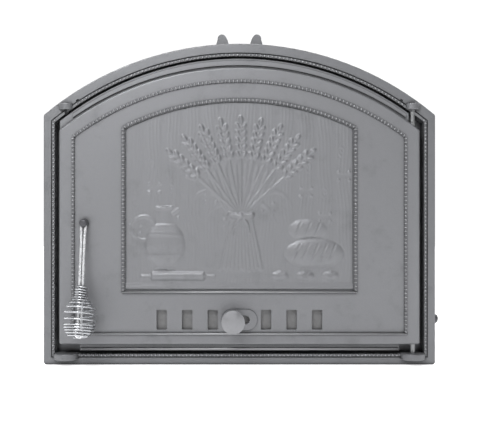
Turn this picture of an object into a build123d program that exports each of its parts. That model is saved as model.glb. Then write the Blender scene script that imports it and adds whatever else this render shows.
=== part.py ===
from build123d import *
from collections import namedtuple
from math import cos, radians, sin, sqrt
import os

os.makedirs("parts", exist_ok=True)

# A cast iron oven door: an arched frame built into the oven's front, a leaf hung on two pins, a
# sliding vent damper and a turning latch with a wound wire grip. X runs along the wall, Y into it
# and Z up. The wall's face is Y = 0 and the frame's foot is Z = 0. All sizes are in millimetres.

# Frame border
frame_width = 485
frame_arch_radius = 376.3
frame_arch_centre = 21.5
border_thickness = 6
side_band = 14.1
crown_band = 16
sill_band = 13.6
frame_corner = 4
border_round = 1.6

# Collar that goes into the masonry, and the ledge that the leaf shuts against
collar_depth = 48
collar_wall = 6
ledge_width = 23.4
ledge_setback = 12
ledge_thickness = 6

# Two anchor horns on the crown of the collar
horn_setback = 26
horn_thickness = 8
horn_root_width = 16.4
horn_root_x = 20.8
horn_tip_x = 22.4
horn_tip_radius = 5.4
horn_height = 28.5

# Beaded mouldings, as plain ridges
bead_width = 2.9
bead_core = 1.2
bead_groove_width = 1.8
bead_groove_depth = 1.2

# Hinge: four cast lugs, so that the leaf can hang on either side, and the pins of one side
hinge_inset = 27.9
hinge_y = -4
pin_radius = 3.5
pin_bore_gap = 0.1
lower_lug_radius = 15.5
lower_lug_z = 6.7
lower_lug_height = 8.1
upper_lug_radius = 9
upper_lug_rise = 4.6
upper_lug_height = 8
lug_round = 1.5
pin_seat = 7
pin_chamfer = 0.6
pin_engagement = 30
core_dimple_run = 14.4
core_dimple_rise = 3.3
core_dimple_radius = 2
core_dimple_depth = 2

# Anchor bolt through the collar's right wall
anchor_bolt_y = 32
anchor_bolt_z = 52
anchor_shank_radius = 4
anchor_inner_end = 11
anchor_head_radius = 6.1
anchor_head_height = 7.5
anchor_head_round = 4.3
anchor_head_proud = 4.6
anchor_bore_gap = 0.4
thread_gap = 0.05
nut_across_flats = 13
nut_height = 6.5

# Leaf
leaf_side_gap = 6.4
leaf_foot_gap = 12.4
leaf_crown_gap = 14.4
leaf_arch_ease = 2.8
leaf_proud = 6
leaf_plate = 6
leaf_corner = 3
leaf_round = 2.4
rim_crown_gap = 3
rim_foot_gap = 4.2
rim_depth = 6
notch_gap = 1.9
notch_run = 40
rib_inset = 16
rib_width = 5
seat_gap = 0.3
hinge_boss_radius = 7
hinge_boss_wall = 4

# Mouldings and panels on the leaf's face
outer_moulding_side = 17.3
outer_moulding_foot = 13.3
outer_moulding_crown = 17.1
field_recess = 0.8
picture_side = 79
picture_foot = 64.7
picture_crown = 40.2
picture_margin = 2.8
picture_recess = 3.2
picture_backing = 4

# Vents and the slot of the damper's knob
vent_width = 12.8
vent_height = 24.4
vent_corner = 1.2
vent_z = 56.5
vent_pitch = 31.4
first_vent_x = 32.8
vents_a_side = 3
vent_travel = 15
slot_collar_length = 43.6
slot_collar_height = 25.4
slot_collar_proud = 1.4
slot_gap = 0.3

# Damper
damper_thickness = 3
damper_gap = 0.3
damper_height = 38
damper_end_margin = 20
guide_x = 126
guide_boss_radius = 4
guide_slot_gap = 0.3
guide_screw_radius = 2
guide_screw_depth = 6
guide_head_radius = 4.4
guide_head_height = 2.8
screw_head_round = 1.2
guide_washer_radius = 8
guide_washer_thickness = 1.2

# Knob
knob_rest_x = -7.5
knob_shank_radius = 5
knob_radius = 14.1
knob_proud = 28.5
knob_neck_length = 7
knob_face_dome = 2.2
knob_edge = 3.4
knob_screw_radius = 2.5
knob_screw_depth = 14
knob_screw_head_radius = 4.6
knob_screw_head_height = 3.2
knob_washer_radius = 7
knob_washer_thickness = 1.2

# Latch
latch_inset = 31.5
latch_z = 175.7
spindle_radius = 4
spindle_gap = 0.15
spindle_head_radius = 4.7
spindle_head_length = 11.5
spindle_head_round = 2.3
latch_boss_radius = 9
latch_boss_end_gap = 0.5
pawl_thickness = 6
pawl_ledge_gap = 1
pawl_hub_radius = 8.5
pawl_tip_radius = 5
pawl_reach = 31.5
pawl_square = 6
pawl_square_gap = 0.1
latch_washer_radius = 7
latch_washer_thickness = 1.5
latch_nut_flats = 10
latch_nut_height = 5
latch_thread_radius = 3
latch_thread_spare = 2

# Handle: a wire hairpin through the spindle's head, and the wound wire grip on it
handle_wire_radius = 1.7
handle_wire_gap = 0.1
handle_eye_width = 4.9
handle_sink = 1
handle_neck = 24
handle_length = 138
handle_loop = 4.2
handle_loop_length = 12.6
handle_shoulder = 7.6
handle_shoulder_bend = 2.9
handle_end_bend = 4.07
handle_bend = 12
handle_lean = 11.5
handle_head_offset = 6.3
handle_bore_gap = 0.1
grip_wire_radius = 1.2
grip_wire_flats = 8
grip_start = 78
grip_length = 60
grip_neck = 9
grip_belly = 15
grip_end = 15
grip_first_radius = 4.7
grip_small_radius = 6.4
grip_large_radius = 18.3
grip_last_radius = 7.1
grip_close_pitch = 3.1
grip_open_pitch = 7.6

# Relief in the picture panel: a tied sheaf of corn on a table, with bread, a jug and a rolling pin
relief_low = 1.2
relief_mid = 2.6
relief_stem = 3.4
relief_upper = 4
relief_high = 5
relief_taper = 25
relief_round = 2.2
table_height = 32.5
table_edge = 7.5
standing_drop = 8
lying_drop = 16
sheaf_x = 2
sheaf_foot_width = 62
sheaf_tie_rise = 66
sheaf_tie_width = 30
sheaf_tie_overhang = 2.3
sheaf_tie_height = 9
sheaf_head_width = 92
stem_width = 2.6
foot_fan = 44
ear_count = 9
ear_fan = 96
ear_start = 76
grain_length = 8.6
grain_width = 5
grain_spread = 3.9
grain_tilt = 24
grains_a_side = 5
jug_inset = 48.2
jug_width = 52
jug_height = 60
jug_foot_width = 31
jug_foot_height = 15
jug_neck_width = 24
jug_neck_height = 24
jug_neck_sink = 6
jug_handle_rise = 51.6
jug_handle_radius = 16.8
jug_handle_width = 4.8
loaf_inset = 48.2
loaf_width = 78
loaf_height = 40
small_loaf_width = 54
small_loaf_height = 30
small_loaf_offset = 7.8
small_loaf_sink = 6
roller_inset = 64.2
roller_length = 66
roller_width = 13
roller_handles = 92
roller_handle_width = 5
bun_inset = 28.2
bun_width = 25
bun_height = 15
bun_pitch = 31
bun_count = 3

Arch = namedtuple("Arch", "half_width foot radius centre")
frame_edge = Arch(frame_width / 2, 0, frame_arch_radius, frame_arch_centre)


def inset(arch, side, foot=None, crown=None):
    """The arched outline that lies inside another by a margin at its sides, foot and crown."""
    foot_margin = side if foot is None else foot
    crown_margin = side if crown is None else crown
    return Arch(arch.half_width - side, arch.foot + foot_margin, arch.radius - crown_margin, arch.centre)


def crown_height(arch):
    """Height of an arch's highest point."""
    return arch.centre + arch.radius


def arch_height(arch, x):
    """Height of an arch's round top at a distance from its middle."""
    return arch.centre + sqrt(arch.radius**2 - x**2)


def arched_face(arch, depth, corner=0):
    """A flat foot, two upright sides and one round arch, drawn facing the viewer at a depth."""
    shoulder = arch_height(arch, arch.half_width)
    with BuildSketch(Plane.XZ.offset(-depth)) as face:
        with BuildLine():
            left_shoulder = (-arch.half_width, shoulder)
            right_shoulder = (arch.half_width, shoulder)
            left_foot = (-arch.half_width, arch.foot)
            right_foot = (arch.half_width, arch.foot)
            Polyline(left_shoulder, left_foot, right_foot, right_shoulder)
            ThreePointArc(right_shoulder, (0, crown_height(arch)), left_shoulder)
        make_face()
        if corner:
            fillet(face.vertices(), corner)
    return face.sketch


def arched_slab(arch, back, front, corner=0, mode=Mode.ADD):
    """A slab with an arched outline between two depths."""
    extrude(arched_face(arch, back, corner), amount=back - front, mode=mode)


def arched_ring(outer, inner, back, front, corner=0, mode=Mode.ADD):
    """A ring between two arched outlines and two depths."""
    ring = arched_face(outer, back, corner) - arched_face(inner, back)
    extrude(ring, amount=back - front, mode=mode)


def front_edges(part):
    """The outer edges of the face that is nearest to the viewer."""
    return part.faces().sort_by(Axis.Y)[0].outer_wire().edges()


def facing(depth):
    """The plane that faces the viewer at a depth."""
    return Plane.XZ.offset(-depth)


def bar_between(x, z, back, front, radius, mode=Mode.ADD):
    """A round bar along Y between two depths."""
    with BuildSketch(facing(back)) as section:
        with Locations((x, z)):
            Circle(radius)
    extrude(section.sketch, amount=back - front, mode=mode)


def upright_bore(x, y, foot, height, radius):
    """A round hole along Z."""
    with Locations((x, y, foot)):
        Cylinder(radius, height, align=(Align.CENTER, Align.CENTER, Align.MIN), mode=Mode.SUBTRACT)


def lug(x, foot, radius, height):
    """A cast hinge lug: a half disc about the pin, joined to the border by straight cheeks."""
    root = -border_thickness / 2
    with BuildSketch(Plane.XY.offset(foot)) as outline:
        with BuildLine():
            left = (x - radius, hinge_y)
            right = (x + radius, hinge_y)
            Polyline(left, (x - radius, root), (x + radius, root), right)
            ThreePointArc(right, (x, hinge_y - radius), left)
        make_face()
    with BuildPart() as shelf:
        extrude(outline.sketch, amount=height)
        rims = shelf.edges().filter_by(GeomType.CIRCLE) + shelf.edges().filter_by(Axis.Y)
        fillet(rims, lug_round)
    add(shelf.part)


# Outlines of the frame
lip = inset(frame_edge, side_band, sill_band, crown_band)
collar_outside = inset(lip, -collar_wall)
oven_mouth = inset(lip, ledge_width)
border_front = -border_thickness
ledge_back = ledge_setback + ledge_thickness

# Places of the hinge lugs and their pins' seats
hinge_x = frame_edge.half_width - hinge_inset
lower_lug_top = lower_lug_z + lower_lug_height
upper_lug_z = arch_height(lip, hinge_x) + upper_lug_rise
upper_pin_top = upper_lug_z + pin_seat
lower_pin_foot = lower_lug_top - pin_seat

# Frame casting
with BuildPart() as frame_casting:
    arched_ring(frame_edge, lip, 0, border_front, corner=frame_corner)
    fillet(front_edges(frame_casting), border_round)
    arched_ring(collar_outside, lip, collar_depth, 0)
    arched_ring(lip, oven_mouth, ledge_back, ledge_setback)

    # Moulding along the lip, with the groove outside it
    lip_ridge = inset(lip, -bead_width)
    lip_groove = inset(lip, -bead_width - bead_groove_width)
    groove_floor = border_front + bead_groove_depth
    arched_ring(lip_groove, lip_ridge, groove_floor, border_front, mode=Mode.SUBTRACT)
    arched_ring(lip_ridge, lip, border_front, border_front - bead_core)

    # Anchor horns, narrower at the tip and leaning outwards
    horn_root_z = crown_height(collar_outside) - collar_wall
    for side in (-1, 1):
        with BuildSketch(facing(horn_setback + horn_thickness)) as horn:
            with Locations((side * horn_root_x, horn_root_z)):
                Rectangle(horn_root_width, collar_wall / 2, align=(Align.CENTER, Align.MIN))
            with Locations((side * horn_tip_x, horn_root_z + horn_height)):
                Circle(horn_tip_radius)
            make_hull()
        extrude(horn.sketch, amount=horn_thickness)

    # Hinge lugs in all four corners
    for side in (-1, 1):
        lug(side * hinge_x, lower_lug_z, lower_lug_radius, lower_lug_height)
        lug(side * hinge_x, upper_lug_z, upper_lug_radius, upper_lug_height)

    # Blind pin seats in the lugs, the upper ones reached through the border's edge, and the small
    # cored dimples beside the upper lugs
    border_bore_foot = arch_height(lip, hinge_x + pin_radius) - pin_radius
    for side in (-1, 1):
        upright_bore(side * hinge_x, hinge_y, lower_pin_foot, pin_seat, pin_radius)
        upright_bore(side * hinge_x, hinge_y, border_bore_foot, upper_pin_top - border_bore_foot, pin_radius)
        bar_between(
            side * (hinge_x - core_dimple_run),
            upper_lug_z + upper_lug_height + core_dimple_rise,
            border_front + core_dimple_depth,
            border_front,
            core_dimple_radius,
            mode=Mode.SUBTRACT,
        )

    # Hole of the anchor bolt in the collar's right wall
    with BuildSketch(Plane.YZ.offset(lip.half_width - 1)) as anchor_hole:
        with Locations((anchor_bolt_y, anchor_bolt_z)):
            Circle(anchor_shank_radius + anchor_bore_gap)
    extrude(anchor_hole.sketch, amount=collar_wall + 2, mode=Mode.SUBTRACT)
frame_casting.part.label = "frame_casting"
export_step(frame_casting.part, "parts/frame_casting.step")


# Depths and outlines of the leaf
leaf_front = border_front - leaf_proud
plate_back = leaf_front + leaf_plate
rim_back = plate_back + rim_depth
rib_back = ledge_setback - seat_gap
field_front = leaf_front + field_recess
picture_floor = field_front + picture_recess
plate_radius = lip.radius - leaf_arch_ease
plate_centre = crown_height(lip) - leaf_crown_gap - plate_radius
plate = Arch(lip.half_width - leaf_side_gap, lip.foot + leaf_foot_gap, plate_radius, plate_centre)
rim = inset(lip, leaf_side_gap, rim_foot_gap, rim_crown_gap)
rib_outer = inset(lip, rib_inset)
rib_inner = inset(rib_outer, rib_width)
outer_moulding = inset(plate, outer_moulding_side, outer_moulding_foot, outer_moulding_crown)
picture_moulding = inset(plate, picture_side, picture_foot, picture_crown)
picture = inset(picture_moulding, picture_margin)
plate_shoulder = arch_height(plate, plate.half_width)

# Hinge pins, pressed into the lugs and standing in the leaf's bosses
bore_radius = pin_radius + pin_bore_gap
lower_pin_top = plate.foot + pin_engagement
upper_pin_foot = plate_shoulder - pin_engagement


def hinge_pin(foot, top):
    """An upright round pin with chamfered ends."""
    with BuildPart() as pin:
        with Locations((hinge_x, hinge_y, foot)):
            Cylinder(pin_radius, top - foot, align=(Align.CENTER, Align.CENTER, Align.MIN))
        chamfer(pin.edges().filter_by(GeomType.CIRCLE), pin_chamfer)
    return pin.part


with BuildPart() as lower_hinge_pin:
    add(hinge_pin(lower_pin_foot, lower_pin_top))
lower_hinge_pin.part.label = "lower_hinge_pin"
export_step(lower_hinge_pin.part, "parts/lower_hinge_pin.step")

with BuildPart() as upper_hinge_pin:
    add(hinge_pin(upper_pin_foot, upper_pin_top))
upper_hinge_pin.part.label = "upper_hinge_pin"
export_step(upper_hinge_pin.part, "parts/upper_hinge_pin.step")

# Anchor bolt, with its domed head outside the frame
anchor_head_x = frame_edge.half_width + anchor_head_proud
with BuildPart() as anchor_bolt:
    with BuildSketch(Plane.YZ.offset(anchor_head_x)) as head:
        with Locations((anchor_bolt_y, anchor_bolt_z)):
            Circle(anchor_head_radius)
    extrude(amount=anchor_head_height)
    fillet(anchor_bolt.edges().sort_by(Axis.X)[-1], anchor_head_round)
    with BuildSketch(Plane.YZ.offset(lip.half_width - anchor_inner_end)) as shank:
        with Locations((anchor_bolt_y, anchor_bolt_z)):
            Circle(anchor_shank_radius)
    extrude(amount=anchor_head_x - lip.half_width + anchor_inner_end)
    chamfer(anchor_bolt.edges().sort_by(Axis.X)[0], pin_chamfer)
anchor_bolt.part.label = "anchor_bolt"
export_step(anchor_bolt.part, "parts/anchor_bolt.step")

# The two nuts that clamp the anchor bolt to the collar wall
with BuildPart() as anchor_nuts:
    for nut_x in (lip.half_width - nut_height, collar_outside.half_width):
        with BuildSketch(Plane.YZ.offset(nut_x)) as nut:
            with Locations((anchor_bolt_y, anchor_bolt_z)):
                RegularPolygon(nut_across_flats / 2, 6, major_radius=False)
                Circle(anchor_shank_radius + thread_gap, mode=Mode.SUBTRACT)
        extrude(nut.sketch, amount=nut_height)
anchor_nuts.part.label = "anchor_nuts"
export_step(anchor_nuts.part, "parts/anchor_nuts.step")

# Vent places, the same in the leaf and, shifted by the travel, in the damper
vent_places = []
for count in range(vents_a_side):
    for side in (-1, 1):
        vent_places.append((side * (first_vent_x + count * vent_pitch), vent_z))
damper_front = plate_back + damper_gap
damper_back = damper_front + damper_thickness
guide_boss_end = damper_back + damper_gap
knob_front = leaf_front - knob_proud
pawl_front = ledge_back + pawl_ledge_gap
pawl_back = pawl_front + pawl_thickness
latch_x = latch_inset - plate.half_width

# Places in the relief
table_top = picture.foot + table_height
standing_foot = table_top - standing_drop
lying_z = table_top - lying_drop
sheaf_tie_z = standing_foot + sheaf_tie_rise
jug_x = jug_inset - picture.half_width
loaf_x = picture.half_width - loaf_inset
roller_x = roller_inset - picture.half_width
last_bun_x = picture.half_width - bun_inset


def pillow(outline, height, edge_round=relief_round):
    """A raised form with a rounded rim, standing on the picture's floor."""
    with BuildPart() as form:
        extrude(outline, amount=height)
        fillet(front_edges(form), edge_round)
    add(form.part)


def fan(count, spread):
    """Angles of a number of stems that fan out over a spread."""
    return [-spread / 2 + place * spread / (count - 1) for place in range(count)]


def grain_outline():
    """One grain of corn, pointed at both ends."""
    half_length = grain_length / 2
    half_width = grain_width / 2
    shoulder = half_length / 3
    right_side = [(0, half_length), (half_width, shoulder), (half_width, -shoulder), (0, -half_length)]
    left_side = [(-x, z) for x, z in reversed(right_side[1:3])]
    Polygon(*right_side, *left_side, align=None)


def grain_places():
    """Where each grain stands, and how it is turned: pairs along every ear, and one at its tip."""
    places = []
    for angle in fan(ear_count, ear_fan):
        for step in range(grains_a_side + 1):
            sides = (-1, 1) if step < grains_a_side else (0,)
            along = ear_start + step * grain_length
            for side in sides:
                across = side * grain_spread
                x = sheaf_x + along * sin(radians(angle)) + across * cos(radians(angle))
                z = sheaf_tie_z + along * cos(radians(angle)) - across * sin(radians(angle))
                places.append((x, z, -angle - side * grain_tilt))
    return places


# Leaf casting
with BuildPart() as leaf_casting:
    arched_slab(plate, plate_back, leaf_front, corner=leaf_corner)
    fillet(front_edges(leaf_casting), leaf_round)

    # Rim behind the plate, notched round the lower lugs and the upper pin
    lower_notch_x = hinge_x - lower_lug_radius - notch_gap
    upper_notch_x = hinge_x - pin_radius - notch_gap
    with BuildSketch(facing(rim_back)) as rim_notches:
        for side in (-1, 1):
            with Locations((side * (lower_notch_x + notch_run / 2), plate.foot)):
                Rectangle(notch_run, notch_run, align=(Align.CENTER, Align.MAX))
        with Locations((upper_notch_x, plate_shoulder)):
            Rectangle(notch_run, notch_run, align=(Align.MIN, Align.MIN))
    arched_ring(rim, rib_inner, rim_back, plate_back)
    extrude(rim_notches.sketch, amount=rim_depth, mode=Mode.SUBTRACT)
    arched_ring(rib_outer, rib_inner, rib_back, rim_back)

    # Bosses for the hinge pins
    for boss_foot in (plate.foot, upper_pin_foot - hinge_boss_wall):
        with Locations((hinge_x, hinge_y, boss_foot)):
            boss_length = pin_engagement + hinge_boss_wall
            Cylinder(hinge_boss_radius, boss_length, align=(Align.CENTER, Align.CENTER, Align.MIN))
    upright_bore(hinge_x, hinge_y, rim.foot, lower_pin_top + seat_gap - rim.foot, bore_radius)
    upper_bore_foot = upper_pin_foot - seat_gap
    upright_bore(hinge_x, hinge_y, upper_bore_foot, upper_lug_z - upper_bore_foot, bore_radius)

    # Mouldings round the field and the picture
    arched_slab(inset(outer_moulding, bead_width / 2), field_front, leaf_front, mode=Mode.SUBTRACT)
    for moulding in (outer_moulding, picture_moulding):
        outside = inset(moulding, -bead_width / 2)
        inside = inset(moulding, bead_width / 2)
        arched_ring(outside, inside, field_front, leaf_front - bead_core)

    # Picture panel, recessed in front and backed behind
    arched_slab(picture_moulding, plate_back + picture_backing, plate_back)
    arched_slab(picture, picture_floor, leaf_front, mode=Mode.SUBTRACT)

    # Relief: the table, then what stands and lies on it
    with BuildSketch(facing(picture_floor)) as table:
        with Locations((0, picture.foot)):
            Rectangle(2 * picture.half_width, table_top - picture.foot, align=(Align.CENTER, Align.MIN))
    extrude(table.sketch, amount=relief_low)
    with BuildSketch(facing(picture_floor)) as table_board:
        with Locations((0, picture.foot)):
            Rectangle(2 * picture.half_width, table_edge, align=(Align.CENTER, Align.MIN))
    extrude(table_board.sketch, amount=relief_mid)

    with BuildSketch(facing(picture_floor)) as stalks:
        with BuildLine():
            head_z = sheaf_tie_z + ear_start * cos(radians(ear_fan / 2))
            right_side = [
                (sheaf_x + sheaf_foot_width / 2, standing_foot),
                (sheaf_x + sheaf_tie_width / 2, sheaf_tie_z),
                (sheaf_x + sheaf_head_width / 2, head_z),
            ]
            left_side = [(2 * sheaf_x - x, z) for x, z in reversed(right_side)]
            Polyline(*right_side, (sheaf_x, sheaf_tie_z + ear_start), *left_side, close=True)
        make_face()
    extrude(stalks.sketch, amount=relief_mid, taper=relief_taper)
    with BuildSketch(facing(picture_floor)) as stems:
        for angle in fan(ear_count, ear_fan):
            with Locations(Location((sheaf_x, sheaf_tie_z), -angle)):
                Rectangle(stem_width, ear_start, align=(Align.CENTER, Align.MIN))
        for angle in fan(ear_count, foot_fan):
            with Locations(Location((sheaf_x, sheaf_tie_z), angle)):
                Rectangle(stem_width, sheaf_tie_rise, align=(Align.CENTER, Align.MAX))
    extrude(stems.sketch, amount=relief_stem)
    with BuildSketch(facing(picture_floor)) as tie:
        with Locations((sheaf_x, sheaf_tie_z)):
            tie_length = sheaf_tie_width + 2 * sheaf_tie_overhang
            RectangleRounded(tie_length, sheaf_tie_height, sheaf_tie_height / 3)
    pillow(tie.sketch, relief_high)
    with BuildSketch(facing(picture_floor)) as grains:
        for x, z, turn in grain_places():
            with Locations(Location((x, z), turn)):
                grain_outline()
    extrude(grains.sketch, amount=relief_upper, taper=relief_taper)

    # Jug: foot, belly, neck and round handle
    with BuildSketch(facing(picture_floor)) as jug_handle:
        with Locations((jug_x - jug_width / 2, standing_foot + jug_handle_rise)):
            Circle(jug_handle_radius)
            Circle(jug_handle_radius - jug_handle_width, mode=Mode.SUBTRACT)
    extrude(jug_handle.sketch, amount=relief_mid)
    with BuildSketch(facing(picture_floor)) as jug_foot:
        with Locations((jug_x, standing_foot)):
            Rectangle(jug_foot_width, jug_foot_height, align=(Align.CENTER, Align.MIN))
    pillow(jug_foot.sketch, relief_upper)
    with BuildSketch(facing(picture_floor)) as jug_neck:
        with Locations((jug_x, standing_foot + jug_height - jug_neck_sink)):
            Rectangle(jug_neck_width, jug_neck_height, align=(Align.CENTER, Align.MIN))
    pillow(jug_neck.sketch, relief_upper)
    with BuildSketch(facing(picture_floor)) as jug_belly:
        with Locations((jug_x, standing_foot + jug_height / 2)):
            Ellipse(jug_width / 2, jug_height / 2)
    pillow(jug_belly.sketch, relief_high)

    # Loaves, rolling pin and buns
    with BuildSketch(facing(picture_floor)) as small_loaf:
        small_loaf_z = standing_foot + loaf_height + small_loaf_height / 2 - small_loaf_sink
        with Locations((loaf_x - small_loaf_offset, small_loaf_z)):
            Ellipse(small_loaf_width / 2, small_loaf_height / 2)
    pillow(small_loaf.sketch, relief_upper)
    with BuildSketch(facing(picture_floor)) as loaf:
        with Locations((loaf_x, standing_foot + loaf_height / 2)):
            Ellipse(loaf_width / 2, loaf_height / 2)
    pillow(loaf.sketch, relief_high)
    with BuildSketch(facing(picture_floor)) as roller_bar:
        with Locations((roller_x, lying_z)):
            SlotOverall(roller_handles, roller_handle_width)
    extrude(roller_bar.sketch, amount=relief_stem)
    with BuildSketch(facing(picture_floor)) as roller:
        with Locations((roller_x, lying_z)):
            RectangleRounded(roller_length, roller_width, relief_round)
    pillow(roller.sketch, relief_high)
    for count in range(bun_count):
        with BuildSketch(facing(picture_floor)) as bun:
            with Locations((last_bun_x - count * bun_pitch, lying_z)):
                Ellipse(bun_width / 2, bun_height / 2)
        pillow(bun.sketch, relief_upper)

    # Vents, and the knob's slot in its raised collar
    with BuildSketch(facing(field_front)) as slot_collar:
        with Locations((0, vent_z)):
            SlotOverall(slot_collar_length, slot_collar_height)
    extrude(slot_collar.sketch, amount=slot_collar_proud)
    slot_width = 2 * (knob_shank_radius + slot_gap)
    with BuildSketch(facing(plate_back)) as vents:
        with Locations(*vent_places):
            RectangleRounded(vent_width, vent_height, vent_corner)
        with Locations((knob_rest_x + vent_travel / 2, vent_z)):
            SlotOverall(vent_travel + slot_width, slot_width)
    extrude(vents.sketch, amount=leaf_plate + slot_collar_proud, mode=Mode.SUBTRACT)

    # Bosses that the damper slides on
    for side in (-1, 1):
        bar_between(side * guide_x, vent_z, guide_boss_end, plate_back, guide_boss_radius)
        bar_between(
            side * guide_x,
            vent_z,
            guide_boss_end,
            guide_boss_end - guide_screw_depth,
            guide_screw_radius + thread_gap,
            mode=Mode.SUBTRACT,
        )

    # Long boss that carries the latch spindle
    latch_boss_end = pawl_front - latch_boss_end_gap
    bar_between(latch_x, latch_z, latch_boss_end, plate_back, latch_boss_radius)
    bar_between(
        latch_x, latch_z, latch_boss_end, leaf_front, spindle_radius + spindle_gap, mode=Mode.SUBTRACT
    )
leaf_casting.part.label = "leaf_casting"
export_step(leaf_casting.part, "parts/leaf_casting.step")

# Damper plate, with its windows one travel short of the vents
damper_centre = -vent_travel / 2
guide_slot_width = 2 * (guide_boss_radius + guide_slot_gap)
damper_length = 2 * (guide_x + damper_end_margin)
with BuildPart() as damper_plate:
    with BuildSketch(facing(damper_back)) as sheet:
        with Locations((damper_centre, vent_z)):
            RectangleRounded(damper_length, damper_height, vent_corner)
        with Locations(*[(x - vent_travel, z) for x, z in vent_places]):
            RectangleRounded(vent_width, vent_height, vent_corner, mode=Mode.SUBTRACT)
        for side in (-1, 1):
            with Locations((side * guide_x + damper_centre, vent_z)):
                SlotOverall(vent_travel + guide_slot_width, guide_slot_width, mode=Mode.SUBTRACT)
        with Locations((knob_rest_x, vent_z)):
            Circle(knob_screw_radius + pin_bore_gap, mode=Mode.SUBTRACT)
    extrude(amount=damper_thickness)
damper_plate.part.label = "damper_plate"
export_step(damper_plate.part, "parts/damper_plate.step")

# Washers and screws that hold the damper on its bosses
washer_back = guide_boss_end + guide_washer_thickness
with BuildPart() as guide_washers:
    with BuildSketch(facing(washer_back)) as washer:
        with Locations((-guide_x, vent_z), (guide_x, vent_z)):
            Circle(guide_washer_radius)
            Circle(guide_screw_radius + thread_gap, mode=Mode.SUBTRACT)
    extrude(amount=guide_washer_thickness)
guide_washers.part.label = "guide_washers"
export_step(guide_washers.part, "parts/guide_washers.step")

with BuildPart() as guide_screws:
    for side in (-1, 1):
        screw_head = washer_back + guide_head_height
        bar_between(side * guide_x, vent_z, screw_head, washer_back, guide_head_radius)
        screw_tip = guide_boss_end - guide_screw_depth + seat_gap
        bar_between(side * guide_x, vent_z, washer_back, screw_tip, guide_screw_radius)
    fillet(guide_screws.faces().group_by(Axis.Y)[-1].edges(), screw_head_round)
guide_screws.part.label = "guide_screws"
export_step(guide_screws.part, "parts/guide_screws.step")

# Knob, turned on a shank that reaches through the slot to the damper
knob_axis = Axis((knob_rest_x, 0, vent_z), (0, 1, 0))
dome_radius = (knob_radius**2 + knob_face_dome**2) / (2 * knob_face_dome)
with BuildPart() as knob:
    with BuildSketch(Plane.XY.offset(vent_z)) as profile:
        with BuildLine():
            face_centre = (knob_rest_x, knob_front)
            shank_end = (knob_rest_x + knob_shank_radius, damper_front)
            neck_end = (knob_rest_x + knob_shank_radius, leaf_front - knob_neck_length)
            rim_x = knob_rest_x + knob_radius
            rim_front = (rim_x, knob_front + knob_face_dome)
            rim_back = (rim_x, knob_front + knob_face_dome + knob_edge)
            bell_rim = (rim_x - knob_edge / 2, knob_front + knob_face_dome + 1.5 * knob_edge)
            Polyline(face_centre, (knob_rest_x, damper_front), shank_end, neck_end)
            TangentArc(neck_end, bell_rim, tangent=(0, -1))
            Polyline(bell_rim, rim_back, rim_front)
            RadiusArc(rim_front, face_centre, dome_radius)
        make_face()
    revolve(profile.sketch, axis=knob_axis)
    knob_bore_end = damper_front - knob_screw_depth
    knob_bore_radius = knob_screw_radius + thread_gap
    bar_between(knob_rest_x, vent_z, damper_front, knob_bore_end, knob_bore_radius, mode=Mode.SUBTRACT)
knob.part.label = "knob"
export_step(knob.part, "parts/knob.step")

# Washer and screw that hold the knob to the damper
knob_washer_back = damper_back + knob_washer_thickness
with BuildPart() as knob_washer:
    bar_between(knob_rest_x, vent_z, knob_washer_back, damper_back, knob_washer_radius)
    bar_between(
        knob_rest_x, vent_z, knob_washer_back, damper_back, knob_screw_radius + thread_gap, mode=Mode.SUBTRACT
    )
knob_washer.part.label = "knob_washer"
export_step(knob_washer.part, "parts/knob_washer.step")

with BuildPart() as knob_screw:
    knob_screw_tip = knob_bore_end + seat_gap
    knob_screw_back = knob_washer_back + knob_screw_head_height
    bar_between(knob_rest_x, vent_z, knob_screw_back, knob_washer_back, knob_screw_head_radius)
    fillet(knob_screw.faces().sort_by(Axis.Y)[-1].edges(), screw_head_round)
    bar_between(knob_rest_x, vent_z, knob_washer_back, knob_screw_tip, knob_screw_radius)
knob_screw.part.label = "knob_screw"
export_step(knob_screw.part, "parts/knob_screw.step")

# Latch spindle: round head, shank, square for the pawl and a threaded end
spindle_head_back = leaf_front - seat_gap
spindle_head_front = spindle_head_back - spindle_head_length
latch_washer_back = pawl_back + latch_washer_thickness
latch_nut_back = latch_washer_back + latch_nut_height
handle_y = leaf_front - handle_head_offset
handle_axis = (0, -sin(radians(handle_lean)), -cos(radians(handle_lean)))
handle_plane = Plane(origin=(latch_x, handle_y, latch_z), x_dir=(1, 0, 0), z_dir=handle_axis)
with BuildPart() as latch_spindle:
    bar_between(latch_x, latch_z, spindle_head_back, spindle_head_front, spindle_head_radius)
    fillet(latch_spindle.faces().sort_by(Axis.Y)[0].edges(), spindle_head_round)
    bar_between(latch_x, latch_z, pawl_front, spindle_head_back, spindle_radius)
    with BuildSketch(facing(pawl_back)) as square:
        with Locations((latch_x, latch_z)):
            Circle(spindle_radius)
            Rectangle(pawl_square, pawl_square, mode=Mode.INTERSECT)
    extrude(square.sketch, amount=pawl_thickness)
    bar_between(latch_x, latch_z, latch_nut_back + latch_thread_spare, pawl_back, latch_thread_radius)
    with BuildSketch(handle_plane.offset(handle_sink)) as wire_holes:
        with Locations((-handle_eye_width / 2, 0), (handle_eye_width / 2, 0)):
            Circle(handle_wire_radius + handle_bore_gap)
    extrude(wire_holes.sketch, amount=2 * spindle_head_radius, mode=Mode.SUBTRACT)
latch_spindle.part.label = "latch_spindle"
export_step(latch_spindle.part, "parts/latch_spindle.step")

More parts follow.
